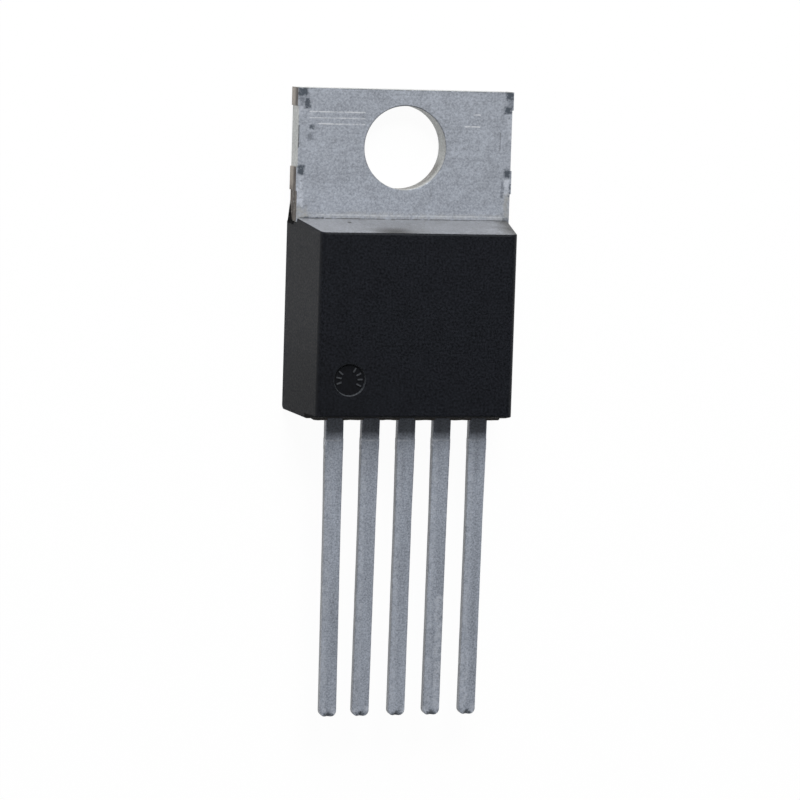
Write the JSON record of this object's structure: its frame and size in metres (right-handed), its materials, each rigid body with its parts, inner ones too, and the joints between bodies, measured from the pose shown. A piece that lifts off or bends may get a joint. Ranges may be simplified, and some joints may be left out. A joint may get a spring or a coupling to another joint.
{
  "type": "voltage regulator",
  "caption": "Power voltage regulator in a flat black moulded body, with a drilled metal cooling tab and a row of straight flat leads.",
  "frame": {"origin": "on the mounting hole's axis, in the plane of the heatsink face", "axes": "+Z out of the front face, away from the heatsink; +Y towards the tab's free edge, so the leads point to -Y; +X to the right seen from the front, with lead 1 at -X"},
  "size_m": [0.0104, 0.0289, 0.0045],
  "materials": {
    "mould_epoxy": "fine matt moulded epoxy",
    "tinned_header": "matt tin plating on copper",
    "tinned_lead": "matt tin plating on copper",
    "soft_solder": "dull solder",
    "silicon_die": "polished silicon",
    "bond_aluminium": "bright drawn wire"
  },
  "bodies": {
    "root": {"mould_body": "mould_epoxy", "tab_header": "tinned_header", "lead_1": "tinned_lead", "lead_2": "tinned_lead", "lead_4": "tinned_lead", "lead_5": "tinned_lead", "die_solder": "soft_solder", "die": "silicon_die", "wire_enable": "bond_aluminium", "wire_input_a": "bond_aluminium", "wire_input_b": "bond_aluminium", "wire_ground": "bond_aluminium", "wire_output_a": "bond_aluminium", "wire_output_b": "bond_aluminium", "wire_flag": "bond_aluminium"}
  },
  "joints": []
}
